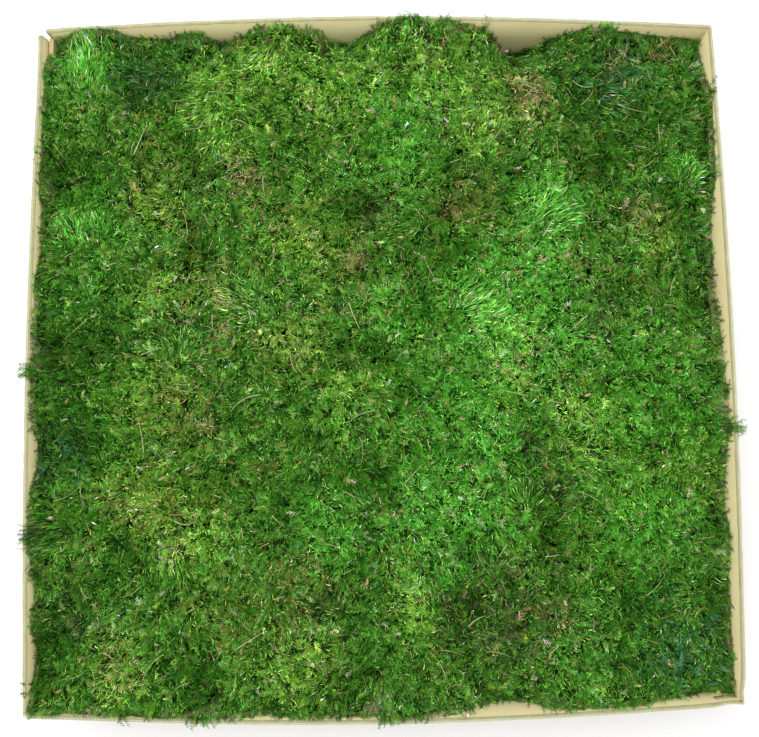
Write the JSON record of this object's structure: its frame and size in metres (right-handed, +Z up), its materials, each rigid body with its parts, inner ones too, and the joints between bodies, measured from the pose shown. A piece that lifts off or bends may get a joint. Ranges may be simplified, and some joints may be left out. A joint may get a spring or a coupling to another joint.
{
  "type": "carton of sheet moss",
  "caption": "Shallow square open carton of corrugated board, filled edge to edge with loose mats of green sheet moss.",
  "frame": {"origin": "middle of the carton's base, on the surface that it stands on", "axes": "+Z up through the open top, +Y towards the back wall, +X towards the right wall"},
  "size_m": [0.713, 0.7134, 0.1008],
  "materials": {
    "kraft_board": "matte",
    "inner_kraft_board": "matte",
    "moss": "matte",
    "dry_straw": "matte",
    "dead_leaf": "matte",
    "dark_twig": "matte"
  },
  "bodies": {
    "root": {"back_wall": "kraft_board", "front_wall": "kraft_board", "left_wall": "kraft_board", "right_wall": "kraft_board", "glue_tab": "inner_kraft_board", "bottom_flap_front": "kraft_board", "bottom_flap_back": "kraft_board", "bottom_flap_left": "inner_kraft_board", "bottom_flap_right": "inner_kraft_board", "moss_mat_back_left": "moss", "moss_mat_back_pale": "moss", "moss_mat_back_middle": "moss", "moss_mat_back_olive": "moss", "moss_mat_back_right": "moss", "moss_mat_upper_left": "moss", "moss_mat_upper_inner_left": "moss", "moss_mat_centre": "moss", "moss_mat_upper_inner_right": "moss", "moss_mat_upper_right": "moss", "moss_mat_lower_left": "moss", "moss_mat_lower_inner_left": "moss", "moss_mat_lower_inner_right": "moss", "moss_mat_lower_right": "moss", "moss_mat_front_left": "moss", "moss_mat_front_inner_left": "moss", "moss_mat_front_inner_right": "moss", "moss_mat_front_right": "moss"}
  },
  "joints": []
}
